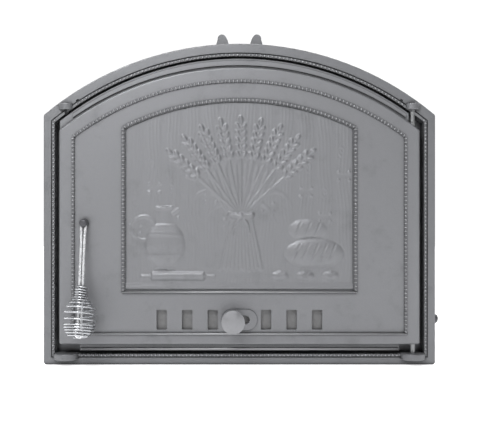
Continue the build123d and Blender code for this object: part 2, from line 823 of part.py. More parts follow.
# Pawl, which turns behind the ledge
with BuildPart() as latch_pawl:
    with BuildSketch(facing(pawl_back)) as pawl:
        with Locations((latch_x, latch_z)):
            Circle(pawl_hub_radius)
        with Locations((latch_x, latch_z + pawl_reach - pawl_tip_radius)):
            Circle(pawl_tip_radius)
        make_hull()
        with Locations((latch_x, latch_z)):
            side_length = pawl_square + 2 * pawl_square_gap
            Rectangle(side_length, side_length, mode=Mode.SUBTRACT)
    extrude(amount=pawl_thickness)
latch_pawl.part.label = "latch_pawl"
export_step(latch_pawl.part, "parts/latch_pawl.step")

# Washer and nut behind the pawl
with BuildPart() as latch_washer:
    bar_between(latch_x, latch_z, latch_washer_back, pawl_back, latch_washer_radius)
    bar_between(
        latch_x, latch_z, latch_washer_back, pawl_back, latch_thread_radius + thread_gap, mode=Mode.SUBTRACT
    )
latch_washer.part.label = "latch_washer"
export_step(latch_washer.part, "parts/latch_washer.step")

with BuildPart() as latch_nut:
    with BuildSketch(facing(latch_nut_back)) as nut:
        with Locations((latch_x, latch_z)):
            RegularPolygon(latch_nut_flats / 2, 6, major_radius=False)
            Circle(latch_thread_radius + thread_gap, mode=Mode.SUBTRACT)
    extrude(amount=latch_nut_height)
latch_nut.part.label = "latch_nut"
export_step(latch_nut.part, "parts/latch_nut.step")

# Handle hairpin: both legs stand in the spindle's head and meet in a loop inside the grip
leg_x = handle_wire_radius + handle_wire_gap / 2
eye_x = handle_eye_width / 2
leg_route = [
    (eye_x, handle_sink),
    (eye_x, handle_sink + spindle_head_radius),
    (leg_x, handle_neck),
    (leg_x, handle_length - handle_loop_length),
    (handle_loop, handle_length - handle_shoulder),
    (handle_loop, handle_length),
]
first_leg = [(-x, 0, along) for x, along in leg_route]
second_leg = [(x, 0, along) for x, along in reversed(leg_route)]
bends = [handle_bend, handle_bend, handle_bend, handle_shoulder_bend, handle_end_bend]
with BuildPart() as handle_hairpin:
    with BuildLine(handle_plane) as hairpin_path:
        FilletPolyline(*first_leg, *second_leg, radius=bends + bends[::-1])
    with BuildSketch(handle_plane.offset(handle_sink)) as wire:
        with Locations((-eye_x, 0)):
            Circle(handle_wire_radius)
    sweep(wire.sketch, path=hairpin_path.line)
handle_hairpin.part.label = "handle_hairpin"
export_step(handle_hairpin.part, "parts/handle_hairpin.step")


def grip_radius(run):
    """Radius of the grip's wire at a distance from its upper end: a neck, a belly and a round end."""
    belly_start = grip_length - grip_end - grip_belly
    if run < grip_neck:
        return grip_small_radius
    if run < belly_start:
        rise = (run - grip_neck) / (belly_start - grip_neck)
        return grip_small_radius + (grip_large_radius - grip_small_radius) * rise**2 * (3 - 2 * rise)
    if run < belly_start + grip_belly:
        return grip_large_radius
    fall = (run - belly_start - grip_belly) / grip_end
    return grip_last_radius + (grip_large_radius - grip_last_radius) * sqrt(max(0, 1 - fall**2))


def grip_pitch(run):
    """Rise of one turn: close at the neck and the end, open at the belly."""
    fullness = (grip_radius(run) - grip_small_radius) / (grip_large_radius - grip_small_radius)
    return grip_close_pitch + (grip_open_pitch - grip_close_pitch) * max(0, fullness) ** 2


# Wound wire grip: half turns, each a tilted half circle that runs on into the next. Flats stand for
# the wire's round section, which keeps its many turns light.
with BuildPart() as handle_grip:
    with BuildLine(handle_plane) as winding:
        run = 0
        side = 1
        here = (side * grip_first_radius, 0, grip_start)
        while run < grip_length:
            run = run + grip_pitch(run) / 2
            there = (-side * grip_radius(run), 0, grip_start + run)
            crest_x = (here[0] + there[0]) / 2
            crest_y = side * abs(here[0] - there[0]) / 2
            ThreePointArc(here, (crest_x, crest_y, (here[2] + there[2]) / 2), there)
            here = there
            side = -side
    with BuildSketch(Plane(origin=winding.line @ 0, z_dir=winding.line % 0)) as wire:
        RegularPolygon(grip_wire_radius, grip_wire_flats)
    sweep(wire.sketch, path=winding.line)
handle_grip.part.label = "handle_grip"
export_step(handle_grip.part, "parts/handle_grip.step")
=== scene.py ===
from math import atan2, cos, hypot, pi, sin, sqrt

import bmesh
import bpy
import numpy as np
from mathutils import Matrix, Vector


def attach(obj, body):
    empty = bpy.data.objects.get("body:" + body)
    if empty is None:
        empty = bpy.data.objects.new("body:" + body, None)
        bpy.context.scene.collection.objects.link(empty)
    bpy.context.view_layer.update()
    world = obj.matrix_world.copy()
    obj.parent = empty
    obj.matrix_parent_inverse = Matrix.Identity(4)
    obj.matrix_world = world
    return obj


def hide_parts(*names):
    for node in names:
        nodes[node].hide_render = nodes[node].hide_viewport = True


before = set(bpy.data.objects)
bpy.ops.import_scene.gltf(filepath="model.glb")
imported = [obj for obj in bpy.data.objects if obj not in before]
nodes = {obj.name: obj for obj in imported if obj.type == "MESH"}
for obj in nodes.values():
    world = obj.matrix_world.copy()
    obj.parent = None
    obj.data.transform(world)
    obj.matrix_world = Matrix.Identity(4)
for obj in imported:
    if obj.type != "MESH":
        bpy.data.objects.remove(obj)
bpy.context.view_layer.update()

# Finish of a cast iron oven door: cast skin, beaded mouldings, relief and the wound wire grip.
# Sizes are in metres, in the frame's axes: X along the wall, Y into it and Z up.
MM = 0.001

# Depths of the faces that the beads and the relief stand on, and sizes of the ridges under the beads
border_front = -6 * MM
bead_core = 1.2 * MM
bead_bed = 0.4 * MM
bead_width = 2.9 * MM
leaf_front = -12 * MM
field_front = -11.2 * MM
picture_floor = -8 * MM


class Arch:
    """An outline with a flat foot, two upright sides and one round arch, from sizes in millimetres."""

    def __init__(self, half_width, foot, radius, centre):
        self.half_width = half_width * MM
        self.foot = foot * MM
        self.radius = radius * MM
        self.centre = centre * MM
        self.shoulder = self.centre + sqrt(self.radius**2 - self.half_width**2)

    def half_angle(self):
        """Angle between the arch's crown and its shoulder."""
        return atan2(self.half_width, self.shoulder - self.centre)

    def height_at(self, x):
        """Height of the arch above a place along the wall."""
        return self.centre + sqrt(self.radius**2 - x**2)


# Heights in millimetres of the arches' centres, for the frame's lip and for the leaf
lip_centre = 21.5
leaf_centre = 9.9

picture_half_width = 140.2
lip_beads = Arch(229.85, 12.15, 361.75, lip_centre)
outer_beads = Arch(204.7, 39.3, 340.4, leaf_centre)
picture_beads = Arch(143, 90.7, 317.3, leaf_centre)
picture = Arch(picture_half_width, 93.5, 314.5, leaf_centre)


# Mesh helpers


def mesh_object(name, vertices, faces, smooth=True):
    """A new mesh piece from arrays of vertices and faces."""
    mesh = bpy.data.meshes.new(name)
    mesh.from_pydata([tuple(v) for v in vertices], [], [tuple(f) for f in faces])
    mesh.validate()
    if smooth:
        mesh.shade_smooth()
    piece = bpy.data.objects.new(name, mesh)
    bpy.context.collection.objects.link(piece)
    return piece


# Materials


def new_material(name):
    """A node material with nothing but its shader and output."""
    material = bpy.data.materials.new(name)
    material.use_nodes = True
    shader = material.node_tree.nodes["Principled BSDF"]
    return material, shader


def node(material, kind, inputs=None, **settings):
    """A shader node with its settings and input values."""
    made = material.node_tree.nodes.new(kind)
    for key, value in settings.items():
        setattr(made, key, value)
    for key, value in (inputs or {}).items():
        made.inputs[key].default_value = value
    return made


def link(material, source, target):
    """Joins one socket to another."""
    material.node_tree.links.new(source, target)


def noise(material, size, detail=4, roughness=0.6):
    """Noise with features of about a size in metres, fixed to the piece."""
    place = node(material, "ShaderNodeTexCoord")
    settings = {"Scale": 1 / size, "Detail": detail, "Roughness": roughness}
    texture = node(material, "ShaderNodeTexNoise", settings)
    link(material, place.outputs["Object"], texture.inputs["Vector"])
    return texture.outputs["Fac"]


noise_low = 0.3
noise_high = 0.7


def spread(material, source, low, high):
    """Maps the middle of a noise to the span from low to high."""
    span = {"From Min": noise_low, "From Max": noise_high, "To Min": low, "To Max": high}
    mapping = node(material, "ShaderNodeMapRange", span)
    link(material, source, mapping.inputs["Value"])
    return mapping.outputs["Result"]


def bumps(material, shader, layers):
    """Stacks bump layers, each a noise output with a height in metres."""
    normal = None
    for source, height in layers:
        bump = node(material, "ShaderNodeBump", {"Strength": 1, "Distance": height})
        link(material, source, bump.inputs["Height"])
        if normal:
            link(material, normal, bump.inputs["Normal"])
        normal = bump.outputs["Normal"]
    link(material, normal, shader.inputs["Normal"])


def two_tone(material, shader, source, dark, light):
    """Colour between two tones by a noise."""
    mix = node(material, "ShaderNodeMix", data_type="RGBA")
    mix.inputs[6].default_value = (*dark, 1)
    mix.inputs[7].default_value = (*light, 1)
    link(material, source, mix.inputs[0])
    link(material, mix.outputs[2], shader.inputs["Base Color"])
    return mix


# Painted shade: the base colour is darkened by how closed in the surface is, not by any lamp
closed_share = 0.4
open_share = 0.9
openness_samples = 12


def paint_shade_in_hollows(material, shader, mix, reach, shade):
    """Darkens a colour where the surface is closed in: painted shade in hollows, creases and gaps, which on
    the iron also stands for blacking left in its hollows.
    """
    openness = node(material, "ShaderNodeAmbientOcclusion", {"Distance": reach}, samples=openness_samples)
    span = {"From Min": closed_share, "From Max": open_share, "To Min": shade, "To Max": 1}
    ramp = node(material, "ShaderNodeMapRange", span)
    link(material, openness.outputs["AO"], ramp.inputs["Value"])
    darken = node(material, "ShaderNodeMix", data_type="RGBA", blend_type="MULTIPLY")
    darken.inputs[0].default_value = 1
    link(material, mix.outputs[2], darken.inputs[6])
    link(material, ramp.outputs["Result"], darken.inputs[7])
    link(material, darken.outputs[2], shader.inputs["Base Color"])


iron_grain_size = 1.3 * MM
iron_cloud_size = 26 * MM
iron_cloud_height = 0.5 * MM
iron_grain_share = 0.5
iron_tone_spread = 0.6
iron_sheen_spread = 0.09
iron_metallic = 0.55
# Reach and darkest share of the iron's dark hollows: blacking and painted shade together
iron_hollow_reach = 6.5 * MM
iron_hollow_shade = 0.14


def cast_iron(name, dark, light, grain_height=0.12, roughness=0.49):
    """Grey cast iron: a fine sandy skin, faintly uneven, with a dull sheen, and hollows darkened by blacking
    and by painted shade.
    """
    material, shader = new_material(name)
    grain = noise(material, iron_grain_size, detail=4, roughness=0.7)
    cloud = noise(material, iron_cloud_size, detail=6)
    tone = node(material, "ShaderNodeMath", {1: iron_grain_share}, operation="MULTIPLY_ADD")
    link(material, grain, tone.inputs[0])
    link(material, cloud, tone.inputs[2])
    tones = spread(material, tone.outputs[0], -iron_tone_spread, iron_tone_spread)
    mix = two_tone(material, shader, tones, dark, light)
    # Painted shade in the hollows and gaps, which also stands for the blacking there
    paint_shade_in_hollows(material, shader, mix, iron_hollow_reach, iron_hollow_shade)
    sheen = spread(material, grain, roughness - iron_sheen_spread, roughness + iron_sheen_spread)
    link(material, sheen, shader.inputs["Roughness"])
    shader.inputs["Metallic"].default_value = iron_metallic
    bumps(material, shader, [(cloud, iron_cloud_height), (grain, grain_height * MM)])
    return material


metal_smoother = 0.75
metal_rougher = 1.35
# Reach and darkest share of the painted shade in the wire's hollows and behind its turns
wire_hollow_reach = 9 * MM
wire_hollow_shade = 0.12


def bright_metal(name, dark, light, roughness, grain_size, metallic=1.0, painted_shade=False, streak_height=0.02):
    """A smooth metal with faint streaks of tone, and painted shade in its hollows when asked for."""
    material, shader = new_material(name)
    streak = noise(material, grain_size, detail=3)
    mix = two_tone(material, shader, spread(material, streak, 0, 1), dark, light)
    # Painted shade in the hollows and behind the turns of the wire
    if painted_shade:
        paint_shade_in_hollows(material, shader, mix, wire_hollow_reach, wire_hollow_shade)
    sheen = spread(material, streak, roughness * metal_smoother, roughness * metal_rougher)
    link(material, sheen, shader.inputs["Roughness"])
    shader.inputs["Metallic"].default_value = metallic
    bumps(material, shader, [(streak, streak_height * MM)])
    return material


finishes = {
    "cast_iron": cast_iron("cast_iron", (0.152, 0.155, 0.163), (0.204, 0.207, 0.218)),
    "frame_iron": cast_iron("frame_iron", (0.132, 0.135, 0.142), (0.178, 0.181, 0.19)),
    # Beads, rolls and ridges: a smoother skin, and a tone lighter than the casting as a painted highlight on
    # the raised mouldings
    "bead_iron_lit": cast_iron("bead_iron_lit", (0.235, 0.239, 0.249), (0.29, 0.294, 0.305), 0.03, 0.52),
    "worn_iron": bright_metal(
        "worn_iron", (0.215, 0.217, 0.227), (0.265, 0.267, 0.28), 0.46, 9 * MM, 0.6, streak_height=0.01
    ),
    "hinge_steel": bright_metal("hinge_steel", (0.23, 0.235, 0.24), (0.31, 0.315, 0.32), 0.42, 4 * MM),
    "black_steel": bright_metal("black_steel", (0.05, 0.05, 0.055), (0.09, 0.09, 0.1), 0.42, 2 * MM, 0.5),
    "damper_steel": bright_metal("damper_steel", (0.13, 0.13, 0.132), (0.18, 0.18, 0.182), 0.5, 6 * MM, 0.5),
    "bright_steel": bright_metal("bright_steel", (0.45, 0.46, 0.47), (0.55, 0.56, 0.57), 0.35, 3 * MM),
    "chrome_wire": bright_metal(
        "chrome_wire", (0.68, 0.69, 0.71), (0.75, 0.76, 0.78), 0.26, 8 * MM, 0.6, True, 0.004
    ),
    # The grip's wire: the chrome wire made darker, as painted shade for the dimmer light that its turns give
    # back
    "wound_wire_shaded": bright_metal(
        "wound_wire_shaded", (0.42, 0.43, 0.45), (0.5, 0.51, 0.53), 0.26, 8 * MM, 0.8, True, 0.004
    ),
}
node_finish = {
    "frame_casting": "frame_iron",
    "leaf_casting": "cast_iron",
    "lower_hinge_pin": "hinge_steel",
    "upper_hinge_pin": "hinge_steel",
    "anchor_bolt": "black_steel",
    "anchor_nuts": "black_steel",
    "damper_plate": "damper_steel",
    "guide_washers": "bright_steel",
    "guide_screws": "bright_steel",
    "knob": "worn_iron",
    "knob_washer": "bright_steel",
    "knob_screw": "bright_steel",
    "latch_spindle": "black_steel",
    "latch_pawl": "hinge_steel",
    "latch_washer": "bright_steel",
    "latch_nut": "bright_steel",
    "handle_hairpin": "chrome_wire",
    "handle_grip": "chrome_wire",
}
for name, finish in node_finish.items():
    for material_slot in nodes[name].material_slots:
        material_slot.material = finishes[finish]


def finish_piece(piece, body, slot, finish=None):
    """Gives a new piece its material, its slot and the body that it rides on."""
    piece.data.materials.append(finishes[finish or slot])
    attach(piece, body)


# Beads of the mouldings
bead_pitch = 4.78 * MM
bead_half_length = 1.55 * MM
frame_bead_height = 1.9 * MM
leaf_bead_height = 3.6 * MM
leaf_bead_half_width = 2.1 * MM


def bead_form(rings=3, sides=10):
    """A unit half ball facing the viewer: vertices and faces."""
    vertices = []
    for ring in range(rings):
        rise = ring / rings * pi / 2
        for side in range(sides):
            turn = 2 * pi * side / sides
            vertices.append((cos(rise) * cos(turn), -sin(rise), cos(rise) * sin(turn)))
    vertices.append((0, -1, 0))
    faces = []
    for ring in range(rings - 1):
        for side in range(sides):
            after = (side + 1) % sides
            a = ring * sides
            b = a + sides
            faces.append((a + side, b + side, b + after, a + after))
    last = (rings - 1) * sides
    for side in range(sides):
        faces.append((last + side, last + sides, last + (side + 1) % sides))
    return np.array(vertices), faces


def upright_places(arch, foot, top):
    """Bead places up both sides, with the angle of the run."""
    count = round((top - foot) / bead_pitch)
    step = (top - foot) / count
    heights = [foot + (i + 0.5) * step for i in range(count)]
    return [(side * arch.half_width, height, pi / 2) for side in (-1, 1) for height in heights]


def arch_places(arch):
    """Bead places along the arch."""
    half_angle = arch.half_angle()
    count = round(2 * half_angle * arch.radius / bead_pitch)
    places = []
    for i in range(count):
        angle = -half_angle + (i + 0.5) * 2 * half_angle / count
        places.append((arch.radius * sin(angle), arch.centre + arch.radius * cos(angle), -angle))
    return places


def foot_places(arch, half_run):
    """Bead places along the foot."""
    count = round(2 * half_run / bead_pitch)
    return [(-half_run + (i + 0.5) * 2 * half_run / count, arch.foot, 0) for i in range(count)]


def bead_string(name, places, front, height, half_width):
    """One mesh of beads, each a half ball that is stretched across its run."""
    form, form_faces = bead_form()
    vertices = []
    faces = []
    for x, z, angle in places:
        along = np.array((cos(angle), 0, sin(angle)))
        across = np.array((-sin(angle), 0, cos(angle)))
        base = len(vertices)
        centre = np.array((x, front, z))
        for point in form:
            run = along * point[0] * bead_half_length
            sweep = across * point[2] * half_width
            vertices.append(centre + run + sweep + np.array((0, point[1] * height, 0)))
        faces.extend([tuple(base + i for i in face) for face in form_faces])
    return mesh_object(name, vertices, faces)


upper_lug_x = 214.6 * MM
upper_lug_low = 300 * MM
upper_lug_half_width = 11 * MM


def clear_of_lugs(place):
    """True where no hinge lug covers the moulding."""
    x, z = place[:2]
    return z <= upper_lug_low or abs(abs(x) - upper_lug_x) >= upper_lug_half_width


lip_foot_run = 197 * MM
lip_side_foot = 17 * MM
lip_places = upright_places(lip_beads, lip_side_foot, lip_beads.shoulder)
lip_places += arch_places(lip_beads)
lip_places += foot_places(lip_beads, lip_foot_run)
lip_places = [place for place in lip_places if clear_of_lugs(place)]
frame_beads = bead_string(
    "frame_beads", lip_places, border_front - bead_core, frame_bead_height, bead_width / 2
)
finish_piece(frame_beads, "frame", "cast_iron", "bead_iron_lit")

leaf_places = []
for moulding in (outer_beads, picture_beads):
    leaf_places += upright_places(moulding, moulding.foot, moulding.shoulder)
    leaf_places += arch_places(moulding)
leaf_beads = bead_string("leaf_beads", leaf_places, field_front, leaf_bead_height, leaf_bead_half_width)
finish_piece(leaf_beads, "leaf", "cast_iron", "bead_iron_lit")


# Relief of the picture panel, as heights above its floor over a grid of places. Lengths in this
# section are in millimetres, and x and z are arrays over the whole grid.


def ridge(distance, half_width, height):
    """A round-backed ridge over the distance from its middle line."""
    return height * np.sqrt(np.clip(1 - (distance / half_width) ** 2, 0, 1))


def groove(distance, half_width, depth):
    """A soft V groove, as a height to take away."""
    return depth * np.exp(-((distance / half_width) ** 2))


def round_edge(inset, run):
    """Rise from 0 to 1 over a short run in from an edge, round at its top."""
    return np.clip(inset / run, 0, 1) ** 0.5


def oval(x, z, centre, half_width, half_height):
    """Share of the way from an oval's centre to its rim."""
    return np.hypot((x - centre[0]) / half_width, (z - centre[1]) / half_height)


def turned(x, z, centre, angle):
    """Places across and along a line that leans from the upright by an angle."""
    dx = x - centre[0]
    dz = z - centre[1]
    return dx * cos(angle) - dz * sin(angle), dx * sin(angle) + dz * cos(angle)


def to_segment(x, z, start, end):
    """Distance to a straight line between two points, and the share of the way along it."""
    dx = end[0] - start[0]
    dz = end[1] - start[1]
    share = np.clip(((x - start[0]) * dx + (z - start[1]) * dz) / (dx**2 + dz**2), 0, 1)
    return np.hypot(x - start[0] - share * dx, z - start[1] - share * dz), share


def curve_points(start, bend, end, count=9):
    """Points along a smooth curve from a start to an end, pulled towards a bend."""
    points = []
    for i in range(count):
        t = i / (count - 1)
        near = (1 - t) ** 2
        middle = 2 * t * (1 - t)
        far = t**2
        points.append(tuple(near * s + middle * b + far * e for s, b, e in zip(start, bend, end)))
    return points


def along_curve(x, z, points):
    """Distance to a chain of points, and the share of the way along it."""
    nearest = np.full(x.shape, 1e9)
    share = np.zeros(x.shape)
    for i, (start, end) in enumerate(zip(points, points[1:])):
        distance, part = to_segment(x, z, start, end)
        closer = distance < nearest
        nearest = np.where(closer, distance, nearest)
        share = np.where(closer, (i + part) / (len(points) - 1), share)
    return nearest, share


# Boards of the wall
board_width = 23.4
board_height = 2.1
board_crown = 0.25
board_joint_half_width = 1.5
butt_joint_low = 168
butt_joint_span = 82
butt_joint_step = 0.618
butt_joint_half_width = 1.3
butt_joint_depth = 1.9
knot_rise = 30
knot_drift = 3
knot_drift_step = 5
knot_stretch = 1.7
knot_height = 0.4
knot_ring_rate = 1.9
knot_reach = 4.2
nail_half_gap = 6.5
nail_rise = 5
nail_radius = 1.7
nail_height = 1.1

# Reach, length and shift from board to board of each sway of the grain
grain_sways = ((2.2, 31, 2.3), (0.9, 11, 1.1))

# Height, share of the sway and pitch of each set of grain lines
grain_lines = ((0.13, 1, 4.3), (0.07, 1.6, 2.6))


def boards(x, z):
    """A wall of upright boards: joints, grain, butt joints, knots and nail heads."""
    shifted = x + picture_half_width
    board = np.floor(shifted / board_width)
    across = shifted - (board + 0.5) * board_width
    height = board_height + board_crown * np.cos(pi * across / board_width)
    height = height - groove(board_width / 2 - np.abs(across), board_joint_half_width, board_height)
    sway = np.zeros(x.shape)
    for reach, length, shift in grain_sways:
        sway = sway + reach * np.sin(z / length + shift * board)
    for line_height, share, pitch in grain_lines:
        height = height + line_height * np.sin(2 * pi * (across + share * sway) / pitch)
    joint_z = butt_joint_low + butt_joint_span * np.mod(board * butt_joint_step, 1)
    height = height - groove(z - joint_z, butt_joint_half_width, butt_joint_depth)
    knot_across = across - knot_drift * np.sin(board * knot_drift_step)
    knot = np.hypot(knot_across, (z - joint_z - knot_rise) / knot_stretch)
    height = height + knot_height * np.cos(knot * knot_ring_rate) * np.exp(-((knot / knot_reach) ** 2))
    for side in (-1, 1):
        for rise in (-nail_rise, nail_rise):
            nail = np.hypot(across - side * nail_half_gap, z - joint_z - rise)
            height = np.maximum(height, board_height + ridge(nail, nail_radius, nail_height))
    return height


# Table, from its rear edge down to the moulded board at its front
table_top = 126
table_depth = 25
table_rear_height = 1.35
table_swell = 0.9
table_grain_height = 0.06
table_grain_pitch = 2.1
table_grain_sway = 0.8
table_grain_run = 17
front_board_z = 97.2
front_board_width = 7.5
front_board_height = 2.9
front_board_crown = 0.5
front_groove_z = 99.3
front_groove_half_width = 0.6
front_groove_depth = 0.7

# Place, half width and depth of each joint in the table's top
table_joints = ((118.5, 0.7, 0.35), (109, 0.8, 0.4))


def table(x, z):
    """A table top seen a little from above, with a moulded front board."""
    depth = (table_top - z) / table_depth
    top = table_rear_height + table_swell * depth
    for joint_z, half_width, joint_depth in table_joints:
        top = top - groove(z - joint_z, half_width, joint_depth)
    sway = table_grain_sway * np.sin(x / table_grain_run)
    top = top + table_grain_height * np.sin(2 * pi * (z + sway) / table_grain_pitch)
    board = front_board_height + front_board_crown * np.cos(pi * (z - front_board_z) / front_board_width)
    board = board - groove(z - front_groove_z, front_groove_half_width, front_groove_depth)
    height = np.where(z < table_top - table_depth, board, top)
    return np.where(z < table_top, height, 0)


# Jug, from its foot up
jug_x = -92
jug_foot_z = 118
jug_foot_top = 133
jug_foot_radius = 12.5
jug_foot_flare = 3
jug_foot_flare_rise = 3
jug_belly_z = 148
jug_belly_half_height = 30
jug_belly_radius = 26
jug_neck_foot = 165
jug_neck_radius = 11
jug_rim_z = 196
jug_rim_flare = 3.2
jug_rim_flare_rise = 4
jug_height = 1.6
jug_swell = 0.18
jug_edge_power = 0.8
jug_least_radius = 0.1
jug_bare_edge = 0.25
jug_band_half_width = 1.1
jug_band_sag = 0.03
frieze_pitch = 6.2
frieze_height = 0.35
frieze_half_width = 4.5
spout_place = (-83, 187)
spout_lean = 0.9
spout_length = 9
spout_half_width = 4
spout_height = 3.4
jug_handle_place = (-118, 169.6)
jug_handle_ring = 14.4
jug_handle_half_width = 2.7
jug_handle_height = 3.3

# Place and height of each band round the jug
jug_bands = ((160, 0.45), (164, 0.3), (136, 0.35), (193.5, 0.6), (173, 0.35))


def jug(x, z):
    """A bellied jug with a foot, bands, a frieze, a flared rim, a spout and a round handle."""
    across = x - jug_x
    belly = jug_belly_radius * np.sqrt(np.clip(1 - ((z - jug_belly_z) / jug_belly_half_height) ** 2, 0, 1))
    foot_flare = jug_foot_flare * np.exp(-((z - jug_foot_z) / jug_foot_flare_rise) ** 2)
    foot = np.where((z > jug_foot_z) & (z < jug_foot_top), jug_foot_radius + foot_flare, 0)
    rim_flare = jug_rim_flare * np.exp(-((z - jug_rim_z) / jug_rim_flare_rise) ** 2)
    neck = np.where((z > jug_neck_foot) & (z < jug_rim_z), jug_neck_radius + rim_flare, 0)
    radius = np.maximum(np.maximum(belly, foot), neck)
    bulge = np.sqrt(np.clip(1 - (across / np.maximum(radius, jug_least_radius)) ** 2, 0, 1))
    height = (jug_height + jug_swell * radius) * bulge**jug_edge_power
    inside = bulge > jug_bare_edge
    sag = jug_band_sag * across**2 / jug_belly_radius
    for band_z, band_height in jug_bands:
        band = band_height * np.exp(-((z + sag - band_z) / jug_band_half_width) ** 2)
        height = height + np.where(inside, band, 0)
    arcade = np.abs(np.sin(pi * across / frieze_pitch))
    frieze = frieze_height * arcade * np.exp(-((z - jug_belly_z) / frieze_half_width) ** 2)
    height = height + np.where(inside, frieze, 0)
    spout_across, spout_along = turned(x, z, spout_place, spout_lean)
    spout = ridge(spout_across, spout_half_width, spout_height)
    spout = spout * (spout_along > 0) * (spout_along < spout_length)
    ring = np.hypot(x - jug_handle_place[0], z - jug_handle_place[1])
    handle = ridge(ring - jug_handle_ring, jug_handle_half_width, jug_handle_height)
    return np.maximum.reduce([height, spout, handle])


# Crust and slashes of the loaves
loaf_dome_power = 2.4
dome_edge_power = 0.55
crust_height = 0.12
crust_wave_rate = 1.9
crust_bend = 2
crust_bend_rate = 1.1
crust_row_rate = 2.3
crust_row_slant = 0.4
slash_rise = 1
slash_lean = 0.42
slash_reach = 0.66
slash_half_width = 1.2
slash_depth = 1.1
slash_lip_place = 2
slash_lip_half_width = 0.9
slash_lip_height = 0.55


def dome(share, height, power):
    """A dome with a round edge, over the share of the way from its middle to its rim."""
    return height * np.clip(1 - share**power, 0, 1) ** dome_edge_power


def loaf(x, z, centre, half_width, half_height, height, slashes):
    """A domed loaf with a row of leaning slashes."""
    share = oval(x, z, centre, half_width, half_height)
    body = dome(share, height, loaf_dome_power)
    waves = np.sin(x * crust_wave_rate + crust_bend * np.sin(z * crust_bend_rate))
    crust = crust_height * waves * np.sin(z * crust_row_rate + x * crust_row_slant)
    for place in slashes:
        across, along = turned(x, z, (centre[0] + place, centre[1] + slash_rise), slash_lean)
        reach = np.clip(1 - (along / (slash_reach * half_height)) ** 2, 0, 1)
        lip = slash_lip_height * np.exp(-((np.abs(across) - slash_lip_place) / slash_lip_half_width) ** 2)
        body = body + reach * (lip - groove(across, slash_half_width, slash_depth))
    return np.where(share < 1, body + crust, 0)


# Rolling pin and buns, which lie at one height
lying_z = 110
pin_x = -76
roller_half_length = 33.5
roller_radius = 6.5
roller_height = 5.2
roller_end_run = 1.6
pin_handle_end = 46
pin_handle_radius = 2.2
pin_handle_height = 3.4
pin_swell = 0.9
pin_swell_place = 43.5
pin_swell_run = 2.4
pin_ring_start = 33
pin_ring_end = 35
pin_ring_radius = 4
pin_ring_height = 4


def rolling_pin(x, z):
    """A roller with turned handles."""
    along = np.abs(x - pin_x)
    across = z - lying_z
    roller_ends = round_edge(roller_half_length - along, roller_end_run)
    roller = ridge(across, roller_radius, roller_height) * roller_ends
    handle_radius = pin_handle_radius + pin_swell * np.exp(-((along - pin_swell_place) / pin_swell_run) ** 2)
    handle = ridge(across, handle_radius, pin_handle_height) * (along < pin_handle_end)
    ring = ridge(across, pin_ring_radius, pin_ring_height)
    ring = ring * (along > pin_ring_start) * (along < pin_ring_end)
    return np.maximum.reduce([roller, handle, ring])


bun_half_width = 12.5
bun_half_height = 7.6
bun_height = 4.7
bun_dome_power = 2.2
bun_cut_lean = 0.9
bun_cut_rise = 1
bun_cut_reach = 0.72
bun_cut_half_width = 0.9
bun_cut_depth = 0.7


def bun(x, z, centre_x):
    """A small round bun with a cross cut into it."""
    share = oval(x, z, (centre_x, lying_z), bun_half_width, bun_half_height)
    body = dome(share, bun_height, bun_dome_power)
    for lean in (-bun_cut_lean, bun_cut_lean):
        across = turned(x, z, (centre_x, lying_z + bun_cut_rise), lean)[0]
        cut = groove(across, bun_cut_half_width, bun_cut_depth)
        body = body - np.where(share < bun_cut_reach, cut, 0)
    return np.maximum(body, 0)


# Straws of the sheaf: a fan above the tie and a narrower one below it. Their angles are in radians.
tie_place = (2, 184)
ear_start = 76
fan_apex_z = 159.4
fan_half_angle = 0.6
fan_pitch = 0.078
fan_edge = 0.06
fan_fade = 16
fan_height = 2
fan_straw_height = 1
skirt_apex_z = 245.9
skirt_half_angle = 0.24
skirt_pitch = 0.0395
skirt_edge = 0.03
skirt_height = 2.4
skirt_straw_height = 0.9
skirt_foot = 117.6

# Height and rate of each wave along the straws' cut ends
skirt_foot_waves = ((1.6, 0.9), (0.8, 2.3))


def stalks(x, z):
    """The straws of the sheaf, above the tie and below it."""
    upper = np.arctan2(x - tie_place[0], z - fan_apex_z)
    rise = np.hypot(x - tie_place[0], z - tie_place[1])
    inside = (np.abs(upper) < fan_half_angle) & (z > tie_place[1]) & (rise < ear_start)
    shade = round_edge(fan_half_angle - np.abs(upper), fan_edge) * round_edge(ear_start - rise, fan_fade)
    straws = fan_height + fan_straw_height * np.abs(np.cos(pi * upper / fan_pitch))
    above = np.where(inside, straws * shade, 0)
    lower = np.arctan2(x - tie_place[0], skirt_apex_z - z)
    cut = skirt_foot
    for wave_height, wave_rate in skirt_foot_waves:
        cut = cut + wave_height * np.sin(x * wave_rate)
    inside = (np.abs(lower) < skirt_half_angle) & (z < tie_place[1]) & (z > cut)
    straws = skirt_height + skirt_straw_height * np.abs(np.cos(pi * lower / skirt_pitch))
    below = np.where(inside, straws * round_edge(skirt_half_angle - np.abs(lower), skirt_edge), 0)
    return np.maximum(above, below)


# Band round the sheaf, its knot and its two ends
tie_sag = 0.006
tie_half_length = 17.4
tie_end_run = 3
tie_half_width = 4.7
tie_height = 5.4
twist_height = 0.45
twist_slant = 0.9
twist_pitch = 4.6
twist_reach = 3.6
tie_knot_half_width = 5.4
tie_knot_half_height = 6
tie_knot_height = 6.4
tie_knot_edge_power = 0.6
tie_tails = (((1, 181), (-7, 176), (-9, 161)), ((4, 181), (12, 177), (12, 163)))
tail_half_width = 1.9
tail_narrowing = 0.5
tail_height = 4.8


